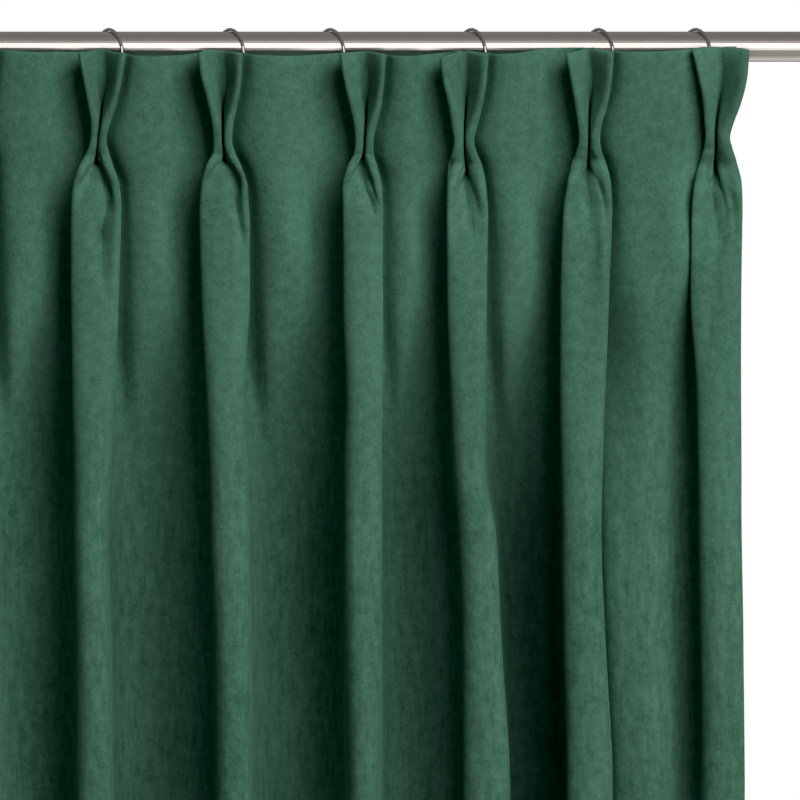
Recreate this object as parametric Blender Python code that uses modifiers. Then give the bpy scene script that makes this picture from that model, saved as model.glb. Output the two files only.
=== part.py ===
"""Chenille curtain with seven double pinch pleats, hung by rings on a steel rod.

X runs along the rod, Z is up and the room is on the -Y side. The origin is on the
rod's axis, over the middle of the curtain. Sizes are in millimetres.
"""

import math

import bpy
import numpy as np
from mathutils import Matrix

MM = 0.001

# Rod
ROD_RADIUS = 12.5
ROD_WALL = 1.2
ROD_HALF_LENGTH = 430.0
CAP_HEAD = 4.0
CAP_PROUD = 1.0
CAP_PLUG = 16.0
ROD_SIDES = 40

# Rings: each hangs on the rod and is turned a little, its front to the right
RING_WIRE = 2.8
RING_INNER_RADIUS = 18.6
RING_YAW = math.radians(33)
RING_SIDES = (26, 8)
EYE_WIRE = 2.2
EYE_RADIUS = 4.2
EYE_SIDES = (14, 6)
RING_PLACES = (-303.0, -197.2, -97.4, -14.9, 101.5, 206.3, 286.3)

# Hooks of bent wire, from each eye down the back of the heading
HOOK_WIRE = 2.0
HOOK_REACH_DOWN = 62.0
HOOK_TAIL = 5.0
HOOK_BEND_SIDES = 6
HOOK_SLANT = 1.5
HOOK_OFF_CLOTH = 0.5

GAP = 0.3

# Cloth
THICKNESS = 1.5
TOP_EDGE = -1.5
DROP = 2500.0
FINGER = 28.0
STRAND_GAP = 3.7
BASE_PLANE = -23.0
PANEL_EASE = 1.01
END_FLAP = 13.0

# Depths below the top edge at which the tables below give a value
DEPTHS = (0, 72, 117, 200, 365, 600, DROP)

# Each pleat: where its left and right edges stand at those depths, and its top edge's height
FAN, NECK, SHOULDER, BODY, KNEE, SHIN, HEM = range(7)
LEFT_EDGES = (
    (-324, -312, -327, -329, -327, -326, -330),
    (-222, -210, -229, -230, -227, -226, -228),
    (-123, -110, -123, -122, -115, -110, -112),
    (-7, 6, -6, -6, -5, -1, 0),
    (76, 88, 79, 79, 89, 92, 94),
    (178, 191, 177, 173, 175, 179, 180),
    (282, 295, 280, 278, 287, 291, 292),
)
RIGHT_EDGES = (
    (-284, -296, -290, -293, -296, -299, -292),
    (-184, -199, -186, -188, -198, -196, -188),
    (-87, -96, -82, -78, -83, -81, -74),
    (31, 21, 30, 30, 28, 25, 36),
    (116, 105, 115, 116, 117, 134, 136),
    (219, 208, 217, 219, 213, 220, 224),
    (329, 312, 322, 323, 323, 326, 328),
)
TOP_HEIGHTS = (0.5, 0.5, -1.0, -2.0, -2.5, -0.5, 0.5)

# Each panel between two pleats: how far along it its three bends lie, and their share of its bow
PANEL_BENDS = (
    ((0.18, 0.80), (0.42, 1.00), (0.75, 0.62)),
    ((0.18, 0.80), (0.40, 1.00), (0.75, 0.62)),
    ((0.18, 0.80), (0.45, 1.00), (0.78, 0.60)),
    ((0.20, 0.75), (0.50, 1.00), (0.80, 0.65)),
    ((0.18, 0.75), (0.48, 1.00), (0.80, 0.70)),
    ((0.10, 0.20), (0.48, -0.72), (0.80, -0.40)),
)

# The shape that all pleats share at each depth
CREASE_SHARE = (1, 1, 0.4, 0, 0, 0, 0)
FACE_BULGE = (0, 0, 1, 4, 6, 7, 9)
BASE_HALF_WIDTH = (5.5, 5.5, 6.5, 9, 13, 15, 18)
PANEL_FORWARD = (6, 2, 0, 0, 0, 0, 0)
FLAP_TURN = (18, 80, 85, 85, 85, 85, 85)
ROUNDING = (1.3, 1.3, 3, 5, 7, 8, 12)

# Where the sheet's mesh has its rows, and how its places along a row are counted
ROWS = (0, 30, 56, 72, 84, 98, 117, 150, 200, 280, 365, 480, 600, 1000, 1700, DROP)
CORNERS_A_PLEAT = 11
BASES_APART = 7
COLUMN_STEP = 0.5
BEND_STEPS = 4
SAMPLE_STEP = 1.0
BOW_STEPS = 16
DEEPEST_BOW = 90.0


def at_depth(values, depth):
    """A row of a table read at any depth: smooth, and never past the values on either side."""
    spans = np.diff(DEPTHS)
    rises = np.diff(values) / spans
    slopes = [rises[0]]
    for before, after in zip(rises, rises[1:]):
        slopes.append(2 * before * after / (before + after) if before * after > 0 else 0.0)
    slopes.append(0.0)
    i = min(int(np.searchsorted(DEPTHS, depth, side="right")) - 1, len(spans) - 1)
    t = (depth - DEPTHS[i]) / spans[i]
    start = values[i] * (1 + 2 * t) * (1 - t) ** 2 + slopes[i] * spans[i] * t * (1 - t) ** 2
    end = values[i + 1] * t**2 * (3 - 2 * t) + slopes[i + 1] * spans[i] * t**2 * (t - 1)
    return float(start + end)


def pleat_corners(number, depth):
    """The pleat's corners in plan: a base, two at each finger with two at the crease between, a base."""
    left = at_depth(LEFT_EDGES[number], depth) + STRAND_GAP / 2
    right = at_depth(RIGHT_EDGES[number], depth) - STRAND_GAP / 2
    middle = (left + right) / 2
    half = (right - left) / 2
    crease = at_depth(CREASE_SHARE, depth) * math.sqrt(FINGER**2 - half**2)
    crease -= at_depth(FACE_BULGE, depth)
    flank = 2 * FINGER - math.hypot(half, crease)
    base_half = at_depth(BASE_HALF_WIDTH, depth)
    front = BASE_PLANE - math.sqrt(flank**2 - (half - base_half) ** 2)

    lean = math.atan2(half - base_half, BASE_PLANE - front)
    across = STRAND_GAP / 2 * math.cos(lean)
    ahead = STRAND_GAP / 2 * math.sin(lean)
    strand = STRAND_GAP / 2
    return [
        (middle - base_half, BASE_PLANE),
        (left - across, front + ahead),
        (left + across, front - ahead),
        (middle - strand, front + crease),
        (middle + strand, front + crease),
        (right - across, front - ahead),
        (right + across, front + ahead),
        (middle + base_half, BASE_PLANE),
    ]


def panel_curve(number, start, end, depth, bow):
    """Points between two pleats' bases, on a smooth curve through the panel's bends, with their places."""
    forward = at_depth(PANEL_FORWARD, depth)
    first_place = CORNERS_A_PLEAT * number + BASES_APART
    knots = [(first_place, *start)]
    for bend, (along, share) in enumerate(PANEL_BENDS[number], start=1):
        x = start[0] + along * (end[0] - start[0])
        y = BASE_PLANE - forward * 4 * along * (1 - along) + bow * share
        knots.append((first_place + bend, x, y))
    knots.append((first_place + len(knots), *end))
    knots = np.array([2 * np.array(knots[0]) - knots[1], *knots, 2 * np.array(knots[-1]) - knots[-2]])
    curve = []
    for a, b, c, d in zip(knots, knots[1:], knots[2:], knots[3:]):
        for step in range(BEND_STEPS):
            t = step / BEND_STEPS
            bend_in = t**2 * (a - 2.5 * b + 2 * c - d / 2)
            bend_out = t**3 * (1.5 * (b - c) + (d - a) / 2)
            curve.append(b + t * (c - a) / 2 + bend_in + bend_out)
    return curve[1:]


def flap_end(base, depth, side):
    """The cloth's free edge past the end pleat: near the heading's line on top, turned to the wall below."""
    turn = math.radians(at_depth(FLAP_TURN, depth))
    return (base[0] + side * END_FLAP * math.cos(turn), base[1] + END_FLAP * math.sin(turn))


def rounded(placed_points, radius):
    """The outline through the points, corners softened, and each sample's place counted in corners."""
    marks, *points = np.array(placed_points).T
    steps = np.hypot(*np.diff(points, axis=1))
    reach = np.concatenate([[0], np.cumsum(steps)])
    samples = np.linspace(0, reach[-1], int(reach[-1] / SAMPLE_STEP) + 1)
    outline = np.column_stack([np.interp(samples, reach, values) for values in points])
    place = np.interp(samples, reach, marks)

    span = int(3 * radius / SAMPLE_STEP) + 1
    weights = np.exp(-0.5 * (np.arange(-span, span + 1) * SAMPLE_STEP / radius) ** 2)
    weights /= weights.sum()
    before = 2 * outline[0] - outline[span:0:-1]
    after = 2 * outline[-1] - outline[-2 : -span - 2 : -1]
    padded = np.concatenate([before, outline, after])
    soft = np.column_stack([np.convolve(padded[:, axis], weights, "valid") for axis in (0, 1)])
    return soft, place


def section(depth, bows):
    """The cloth in plan at a depth, given how deep each panel bows towards the wall."""
    pleats = [pleat_corners(number, depth) for number in range(len(LEFT_EDGES))]
    points = [(-1, *flap_end(pleats[0][0], depth, -1))]
    for number, corners in enumerate(pleats):
        for corner, point in enumerate(corners):
            points.append((CORNERS_A_PLEAT * number + corner, *point))
        if number < len(PANEL_BENDS):
            points += panel_curve(number, corners[-1], pleats[number + 1][0], depth, bows[number])
    points.append((points[-1][0] + 1, *flap_end(pleats[-1][-1], depth, 1)))
    return rounded(points, at_depth(ROUNDING, depth))


def crease_to_crease(outline, place):
    """The length of cloth from each pleat's crease to the next one's."""
    run = np.concatenate([[0], np.cumsum(np.hypot(*np.diff(outline, axis=0).T))])
    creases = CORNERS_A_PLEAT * np.arange(len(LEFT_EDGES)) + BASES_APART / 2
    return np.diff(np.interp(creases, place, run))


def cloth_lengths():
    """How much cloth lies between neighbouring creases: four sides of a finger and the panel."""
    corners = [pleat_corners(number, DEPTHS[NECK]) for number in range(len(LEFT_EDGES))]
    panels = [after[0][0] - before[-1][0] for before, after in zip(corners, corners[1:])]
    return 4 * FINGER + PANEL_EASE * np.array(panels)


def hanging_section(depth):
    """The section whose panels bow just deep enough to take up the cloth. The heading's don't bow back."""
    wanted = cloth_lengths()
    shallow = np.zeros(len(wanted))
    if depth <= DEPTHS[NECK]:
        return section(depth, shallow)
    deep = np.full(len(wanted), DEEPEST_BOW)
    for _ in range(BOW_STEPS):
        bows = (shallow + deep) / 2
        too_long = crease_to_crease(*section(depth, bows)) > wanted
        deep = np.where(too_long, bows, deep)
        shallow = np.where(too_long, shallow, bows)
    return section(depth, shallow)


def sheet_points():
    """Rows of points over the cloth, from its top edge to its hem."""
    last = CORNERS_A_PLEAT * (len(LEFT_EDGES) - 1) + BASES_APART
    columns = [-1, *np.arange(0, last + COLUMN_STEP, COLUMN_STEP), last + 1]
    pleat_middles = [(a[FAN] + b[FAN]) / 2 for a, b in zip(LEFT_EDGES, RIGHT_EDGES)]
    rows = []
    for depth in ROWS:
        outline, place = hanging_section(depth)
        x = np.interp(columns, place, outline[:, 0])
        y = np.interp(columns, place, outline[:, 1])
        lift = np.interp(x, pleat_middles, TOP_HEIGHTS) * max(0, 1 - depth / DEPTHS[SHIN])
        rows.append(np.column_stack([x, y, TOP_EDGE - depth + lift]))
    return rows


def collection_of(name):
    collection = bpy.data.collections.new(name)
    bpy.context.scene.collection.children.link(collection)
    return collection


def material_of(name, colour, roughness, metallic):
    material = bpy.data.materials.new(name)
    material.use_nodes = True
    shader = material.node_tree.nodes["Principled BSDF"]
    shader.inputs["Base Color"].default_value = (*colour, 1)
    shader.inputs["Roughness"].default_value = roughness
    shader.inputs["Metallic"].default_value = metallic
    return material


def add_object(name, data, collection, material):
    obj = bpy.data.objects.new(name, data)
    collection.objects.link(obj)
    data.materials.clear()
    data.materials.append(material)
    return obj


def make_curtain(collection, material):
    rows = sheet_points()
    width = len(rows[0])
    mesh = bpy.data.meshes.new("curtain")
    points = [tuple(point * MM) for row in rows for point in row]
    faces = []
    for row in range(len(rows) - 1):
        for column in range(width - 1):
            corner = row * width + column
            faces.append((corner, corner + width, corner + width + 1, corner + 1))
    mesh.from_pydata(points, [], faces)
    mesh.shade_smooth()
    curtain = add_object("curtain", mesh, collection, material)
    sheet = curtain.modifiers.new("Sheet", "SOLIDIFY")
    sheet.thickness = THICKNESS * MM
    sheet.offset = 0
    return curtain


def turned(name, profile, collection, material):
    """A solid turned about the X axis from its (along, radius) outline, closed unless it meets the axis."""
    mesh = bpy.data.meshes.new(name)
    points = [(along * MM, 0, radius * MM) for along, radius in profile]
    edges = [(i, i + 1) for i in range(len(points) - 1)]
    if profile[0][1] > 0:
        edges.append((len(points) - 1, 0))
    mesh.from_pydata(points, edges, [])
    obj = add_object(name, mesh, collection, material)
    screw = obj.modifiers.new("Turn", "SCREW")
    screw.axis = "X"
    screw.steps = ROD_SIDES
    screw.render_steps = ROD_SIDES
    screw.use_normal_flip = True
    screw.use_merge_vertices = True
    screw.merge_threshold = 0.00001
    return obj


def make_rod(collection, material):
    bore = ROD_RADIUS - ROD_WALL
    end = ROD_HALF_LENGTH
    turned("rod", [(-end, bore), (-end, ROD_RADIUS), (end, ROD_RADIUS), (end, bore)], collection, material)


def make_cap(name, side, collection, material):
    """A push-in end: a head a little wider than the tube, and a plug inside it."""
    face = ROD_HALF_LENGTH + GAP
    bore = ROD_RADIUS - ROD_WALL
    head = ROD_RADIUS + CAP_PROUD
    edge = CAP_PROUD
    profile = [
        (ROD_HALF_LENGTH - CAP_PLUG, 0),
        (ROD_HALF_LENGTH - CAP_PLUG, bore - GAP),
        (face, bore - GAP),
        (face, head),
        (face + CAP_HEAD - edge, head),
        (face + CAP_HEAD, head - edge),
        (face + CAP_HEAD, 0),
    ]
    cap = turned(name, profile, collection, material)
    if side < 0:
        cap.rotation_euler.z = math.pi
    return cap


def torus_mesh(radius, wire, sides):
    bpy.ops.mesh.primitive_torus_add(
        major_radius=radius * MM,
        minor_radius=wire / 2 * MM,
        major_segments=sides[0],
        minor_segments=sides[1],
    )
    torus = bpy.context.object
    mesh = torus.data
    bpy.data.objects.remove(torus)
    return mesh


def applied_union(name, first, second):
    """One mesh out of two, joined where they overlap."""
    holder = bpy.data.objects.new(name, first)
    other = bpy.data.objects.new(name + "_other", second)
    for obj in (holder, other):
        bpy.context.scene.collection.objects.link(obj)
    union = holder.modifiers.new("Join", "BOOLEAN")
    union.operation = "UNION"
    union.object = other
    graph = bpy.context.evaluated_depsgraph_get()
    mesh = bpy.data.meshes.new_from_object(holder.evaluated_get(graph))
    for obj in (holder, other):
        bpy.data.objects.remove(obj)
    mesh.name = name
    return mesh


def ring_height():
    """The height of a ring's centre: its wire rests on the rod's top."""
    return ROD_RADIUS + GAP - RING_INNER_RADIUS


def eye_height():
    """The height of the eye's centre, its top sunk a little into the ring's wire."""
    return ring_height() - RING_INNER_RADIUS - RING_WIRE - EYE_RADIUS + EYE_WIRE / 2


def ring_mesh():
    ring = torus_mesh(RING_INNER_RADIUS + RING_WIRE / 2, RING_WIRE, RING_SIDES)
    upright = Matrix.Rotation(math.pi / 2, 4, "Y")
    turned_front = Matrix.Rotation(RING_YAW, 4, "Z")
    ring.transform(turned_front @ upright)
    eye = torus_mesh(EYE_RADIUS, EYE_WIRE, EYE_SIDES)
    below = Matrix.Translation((0, 0, (eye_height() - ring_height()) * MM))
    eye.transform(below @ Matrix.Rotation(math.pi / 2, 4, "X"))
    return applied_union("ring", ring, eye)


def cloth_back(x, depth):
    """How far towards the wall the sheet's centre comes near this place along the rod."""
    outline, _ = hanging_section(depth)
    near = np.abs(outline[:, 0] - x) < 2 * HOOK_WIRE
    return outline[near, 1].max()


def hook_points(x):
    """The bent wire in its upright plane: over the eye's lower wire, forward to the cloth and down it."""
    seat = eye_height() - EYE_RADIUS
    clear = EYE_WIRE / 2 + GAP + HOOK_WIRE / 2
    points = [(clear, seat - HOOK_TAIL), (clear, seat)]
    for step in range(1, HOOK_BEND_SIDES):
        angle = math.pi * step / HOOK_BEND_SIDES
        points.append((clear * math.cos(angle), seat + clear * math.sin(angle)))
    points.append((-clear, seat))
    behind = THICKNESS / 2 + HOOK_OFF_CLOTH + HOOK_WIRE / 2
    arm = seat - 2 * clear
    points.append((-clear - HOOK_SLANT, arm))
    start = -TOP_EDGE - arm
    for depth in (start, (start + HOOK_REACH_DOWN) / 2, HOOK_REACH_DOWN):
        points.append((cloth_back(x, depth) + behind, TOP_EDGE - depth))
    return points


def make_hook(name, x, collection, material):
    curve = bpy.data.curves.new(name, "CURVE")
    curve.dimensions = "3D"
    curve.bevel_depth = HOOK_WIRE / 2 * MM
    curve.bevel_resolution = 1
    curve.use_fill_caps = True
    spline = curve.splines.new("POLY")
    points = hook_points(x)
    spline.points.add(len(points) - 1)
    for point, (y, z) in zip(spline.points, points):
        point.co = (0, y * MM, z * MM, 1)
    hook = add_object(name, curve, collection, material)
    hook.location.x = x * MM
    return hook


def main():
    for obj in list(bpy.data.objects):
        bpy.data.objects.remove(obj)
    collection = collection_of("pinch_pleat_curtain")
    chenille = material_of("green chenille", (0.045, 0.115, 0.072), 0.85, 0)
    nickel = material_of("brushed nickel", (0.62, 0.58, 0.55), 0.35, 1)
    bright_wire = material_of("steel wire", (0.60, 0.59, 0.57), 0.3, 1)

    make_curtain(collection, chenille)
    make_rod(collection, nickel)
    make_cap("rod_cap_left", -1, collection, nickel)
    make_cap("rod_cap_right", 1, collection, nickel)
    shared_ring = ring_mesh()
    for number, x in enumerate(RING_PLACES, start=1):
        ring = add_object(f"ring_{number}", shared_ring, collection, bright_wire)
        ring.location = (x * MM, 0, ring_height() * MM)
        make_hook(f"hook_{number}", x, collection, bright_wire)


main()
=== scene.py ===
"""Looks of the chenille curtain: its fine cloth, its metal finishes and a plain studio.

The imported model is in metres, with X along the rod, Z up and the room on the -Y side.
The cloth's own sizes are in millimetres below.
"""

import math
from collections import namedtuple

import bpy
import numpy as np
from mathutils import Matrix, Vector, noise


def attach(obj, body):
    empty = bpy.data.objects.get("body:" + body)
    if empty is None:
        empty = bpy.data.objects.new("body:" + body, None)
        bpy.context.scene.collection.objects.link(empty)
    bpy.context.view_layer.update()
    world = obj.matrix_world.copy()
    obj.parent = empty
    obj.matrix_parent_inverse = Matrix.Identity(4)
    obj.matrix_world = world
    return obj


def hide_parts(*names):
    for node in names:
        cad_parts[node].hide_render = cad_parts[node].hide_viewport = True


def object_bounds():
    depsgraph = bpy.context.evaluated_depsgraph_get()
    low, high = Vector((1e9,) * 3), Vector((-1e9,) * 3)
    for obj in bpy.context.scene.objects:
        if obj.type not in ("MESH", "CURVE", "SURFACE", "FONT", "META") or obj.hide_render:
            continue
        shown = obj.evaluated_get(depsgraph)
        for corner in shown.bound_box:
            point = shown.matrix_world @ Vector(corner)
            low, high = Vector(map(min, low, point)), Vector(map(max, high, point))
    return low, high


bl_info = {
    "name": "Chenille Curtain",
    "version": (1, 0, 0),
    "blender": (4, 5, 0),
    "location": "3D View > Sidebar > Curtain",
    "description": "Dresses a pinch pleated curtain on its rod: cloth, metal and studio",
    "category": "Object",
}

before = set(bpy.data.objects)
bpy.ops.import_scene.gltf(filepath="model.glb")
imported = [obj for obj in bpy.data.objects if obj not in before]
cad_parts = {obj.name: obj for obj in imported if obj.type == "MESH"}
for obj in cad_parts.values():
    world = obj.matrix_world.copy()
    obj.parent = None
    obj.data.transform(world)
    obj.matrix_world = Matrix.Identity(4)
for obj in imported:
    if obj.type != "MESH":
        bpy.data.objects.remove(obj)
solid_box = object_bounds()

MM = 0.001
RINGS = sorted(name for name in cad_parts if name.startswith("ring_"))
HOOKS = sorted(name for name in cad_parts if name.startswith("hook_"))
ROD_PARTS = ("rod", "rod_cap_left", "rod_cap_right")

# Cloth, in millimetres
DROP = 2500.0
TOP_EDGE = -1.5
THICKNESS = 1.5
EDGE_INSET = THICKNESS / 3
TOP_ROLL = 1.0
TOP_ROLL_DEPTH = 6
FINGER = 26.2
SLIT = 2.6
BASE_PLANE = -23.0
PANEL_EASE = 1.068
END_FLAP = 13.0
END_LENGTH = END_FLAP + 2 * FINGER
HEM_DEPTH = 80.0

# Depths below the top edge at which each pleat's edges are given
DEPTHS = (0, 20, 44, 60, 72, 82, 92, 108, 134, 200, 280, 347, 393, 487, 606, DROP)

# The depth at which the cloth between the pleats is measured, and that of the pinch
NECK = 64
PINCH = 76

# Depths at which the place of each pleat's crease is given, as a share of its width
CREASE_DEPTHS = (0, 30, 46, 72, 92, 127)

# Each pleat: its edges along the rod and its crease at those depths, how far its two fingers' tips
# hang lower than its base, how wide and how deep its crease opens on top, and how slowly its shape
# changes below the pinch
Pleat = namedtuple("Pleat", "left right crease droop opening valley reach")
PLEATS = (
    Pleat(
        left=(
            -328, -325, -318, -313, -313, -317, -322, -326,
            -328, -329, -328, -327, -326, -326, -326, -330,
        ),
        right=(
            -289, -291, -295, -297, -297, -295, -292, -291,
            -291, -293, -295, -296, -297, -298, -299, -292,
        ),
        crease=(0.50, 0.48, 0.46, 0.45, 0.48, 0.50),
        droop=(1.1, 1.7),
        opening=8,
        valley=0.7,
        reach=1.0,
    ),
    Pleat(
        left=(
            -223, -219, -214, -211.5, -212, -216, -221, -227,
            -229, -230, -229, -227, -227, -226, -226, -228,
        ),
        right=(
            -181.5, -184.5, -190.5, -196, -198.5, -196.5, -192.5, -187,
            -186, -187, -192, -196, -199, -197, -196, -188,
        ),
        crease=(0.44, 0.50, 0.47, 0.46, 0.45, 0.50),
        droop=(-1.6, -2.4),
        opening=9,
        valley=0.68,
        reach=1.0,
    ),
    Pleat(
        left=(
            -125, -122, -116, -112.5, -111.5, -112, -117, -122,
            -124, -123, -119, -116, -115, -111, -110, -112,
        ),
        right=(
            -86, -86.8, -91, -94.3, -95, -92.5, -87, -82,
            -80, -79, -85, -82, -82, -81, -81, -74,
        ),
        crease=(0.45, 0.54, 0.49, 0.50, 0.48, 0.50),
        droop=(-1.6, -1.6),
        opening=10,
        valley=0.5,
        reach=0.9,
    ),
    Pleat(
        left=(
            -9, -5.5, 0, 4, 5, 4, -1.5, -6,
            -6, -6, -3, -5, -5, -3, -1, 0,
        ),
        right=(
            31.5, 30, 27, 23, 20.6, 21, 24.5, 28.5,
            30, 30, 29, 28, 28, 26, 25, 36,
        ),
        crease=(0.42, 0.54, 0.52, 0.47, 0.40, 0.45),
        droop=(-1.0, -1.8),
        opening=10,
        valley=0.5,
        reach=0.9,
    ),
    Pleat(
        left=(
            73, 76, 81.5, 84, 86, 84, 81, 80,
            79, 79, 82.5, 86, 89, 92, 92, 94,
        ),
        right=(
            115.5, 114, 109.7, 105.5, 103, 105.5, 110, 113,
            115, 115, 113, 112, 121, 126, 134, 136,
        ),
        crease=(0.51, 0.51, 0.52, 0.52, 0.53, 0.55),
        droop=(2.7, 0.0),
        opening=4,
        valley=0.75,
        reach=1.8,
    ),
    Pleat(
        left=(
            176, 180, 184.5, 187, 188, 186, 182, 178,
            174, 171.5, 172, 174, 175, 176, 179, 180,
        ),
        right=(
            218.3, 216.8, 212.6, 208, 206.5, 208, 212, 215.5,
            217, 216, 213, 210, 209, 213, 220, 224,
        ),
        crease=(0.43, 0.50, 0.47, 0.47, 0.48, 0.58),
        droop=(3.7, 0.2),
        opening=4,
        valley=0.75,
        reach=1.6,
    ),
    Pleat(
        left=(
            279, 284, 289, 290.5, 291.5, 290, 287, 282,
            279, 278, 284, 286, 287, 289, 291, 292,
        ),
        right=(
            330, 328, 322, 316, 313, 315.5, 319, 323,
            324.3, 324.5, 324.8, 324.8, 324.8, 326.5, 328.5, 330,
        ),
        crease=(0.46, 0.46, 0.44, 0.41, 0.42, 0.56),
        droop=(-0.6, 1.4),
        opening=4,
        valley=0.8,
        reach=2.2,
    ),
)

# Each panel between two pleats, by four bends: how far each lies from one pleat's edge to the next
# one's in the heading, how far from base to base lower down, how far forward it stands in the
# heading, and its share of the panel's bow below that: first just under it, then further down
Bend = namedtuple("Bend", "along lower heading above below")
PANELS = (
    (
        Bend(0.00, 0.14, 0.02, -0.10, 0.60),
        Bend(0.14, 0.30, 0.88, -0.80, 0.95),
        Bend(0.48, 0.55, 1.00, -0.90, 1.00),
        Bend(0.75, 0.82, 0.03, 0.55, 0.62),
    ),
    (
        Bend(0.00, 0.13, 0.02, -0.10, 0.60),
        Bend(0.13, 0.29, 0.88, -0.80, 0.95),
        Bend(0.46, 0.54, 1.00, -0.90, 1.00),
        Bend(0.75, 0.82, 0.03, 0.55, 0.60),
    ),
    (
        Bend(0.00, 0.13, 0.02, -0.10, 0.60),
        Bend(0.13, 0.29, 0.88, -0.80, 0.95),
        Bend(0.48, 0.56, 1.00, -0.90, 1.00),
        Bend(0.76, 0.82, 0.03, 0.55, 0.60),
    ),
    (
        Bend(0.00, 0.13, 0.02, -0.15, 0.60),
        Bend(0.17, 0.30, 0.88, -0.75, 0.90),
        Bend(0.50, 0.56, 1.00, -0.90, 1.00),
        Bend(0.73, 0.83, -0.02, 0.40, 0.66),
    ),
    (
        Bend(0.00, 0.12, 0.02, -0.15, 1.00),
        Bend(0.13, 0.30, 0.88, -0.75, 1.15),
        Bend(0.48, 0.56, 1.00, -0.90, 1.00),
        Bend(0.75, 0.83, -0.02, 0.40, 0.75),
    ),
    (
        Bend(0.00, 0.06, 0.02, -0.15, -0.70),
        Bend(0.13, 0.28, 0.88, -0.70, -0.92),
        Bend(0.55, 0.54, 1.05, -0.95, -0.95),
        Bend(0.86, 0.86, 0.75, -1.40, 0.70),
    ),
)

# The depths between which each of the four bends falls back, and between which all of them move to
# their lower places, and how much further down each panel's bends fall back
BENDS_FALL = ((220, 330), (210, 360), (165, 305), (90, 220))
BENDS_SHIFT = (90, 240)
PANELS_LATE = (0, 0, 0, 0, 0, 55)

# The top edge's height over its mean, at places along the rod: highest where the hooks hold it
TOP_LINE = (
    (-330, 0.6), (-308, 1.0), (-285, 1.3), (-255, -0.6), (-229, -1.1), (-213, -1.6),
    (-206, 0.9), (-200, 0.4), (-194, -1.5), (-178, -3.2), (-166, -4.5), (-153, -3.9),
    (-140, -4.1), (-128, -3.0), (-122, -1.6), (-117, 0.7), (-111, 0.4), (-104, -0.2),
    (-92, -1.2), (-76, -2.9), (-46, -4.0), (-18, -3.2), (-3, -1.6), (4, -1.1),
    (12, -0.4), (20, -1.3), (33, -3.4), (54, -4.1), (75, -2.3), (86, -0.4),
    (95, 0.6), (104, -1.3), (120, -2.3), (135, -1.6), (146, -0.1), (158, 1.4),
    (172, 2.1), (200, 2.4), (208, 0.6), (224, -0.2), (252, 0.0), (278, 1.2),
    (290, 2.9), (318, 2.9), (332, 2.0),
)

# The shape that all pleats share, at each of these depths
SHAPE_DEPTHS = (0, 28, 50, 72, 84, 90, 97, 108, 120, 134, 200, 365, 600, DROP)
CREASE_SHARE = (1, 1, 1, 1, 1, 0.75, 0.42, 0.2, 0.08, 0.03, 0, 0, 0, 0)
CREASE_GAP = (1.3, 1.3, 1.3, 1.3, 1.3, 1.6, 2.8, 4.5, 5.5, 6, 6, 6, 6, 6)
GROOVE_SHARE = (0.9, 0.82, 0.42, 0.1, 0.1, 0.3, 0.4, 0.5, 0.5, 0.5, 0.5, 0.5, 0.5, 0.5)
GROOVE_DEPTH = (0, 0, 0, 0, 0, 1, 2.5, 2.5, 1.5, 0.8, 0.2, 0, 0, 0)
GROOVE_PLACE = (0.1, 0.16, 0.08, 0.04, 0.05, 0.2, 0.5, 0.62, 0.64, 0.62, 0.5, 0.5, 0.5, 0.5)
WIDEST_TIP = (3.7, 4.0, 5.0, 6.3, 6.3, 5.8, 5.2, 4.8, 4.4, 4, 3.7, 3.7, 3.7, 3.7)
FACE_BULGE = (0, 0, 0, 0, 0, 0, 0, 0.8, 1.8, 2.5, 4, 6, 7, 9)
BASE_HALF_WIDTH = (1.3, 2.6, 3, 3, 3, 3.3, 3.8, 4.6, 5.6, 6.6, 9, 13, 15, 18)
PANEL_FORWARD = (12, 13, 14, 14.5, 14, 13.5, 12.5, 11, 9, 7, 1, 0, 0, 0)
FLAP_TURN = (18, 40, 60, 80, 82, 83, 84, 85, 85, 85, 85, 85, 85, 85)
ROUNDING = (2.0, 1.6, 1.3, 1.3, 1.3, 1.3, 1.5, 1.8, 2.4, 3.0, 4.5, 6, 7, 12)

# How far down the pleats' creases stand open, and a groove's share of its face's bulge
OPEN_DEPTH = 46
GROOVE_BULGE = 0.8

# How the fingers' droop and the top edge's line fade: the droop with the depth, towards the base, and
# from one finger to the other by their places from the crease
DROOP_FADE = 60
DROOP_CURVE = 0.6
DROOP_PLACES = (-2, 2)
TOP_LINE_FADE = 600

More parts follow.
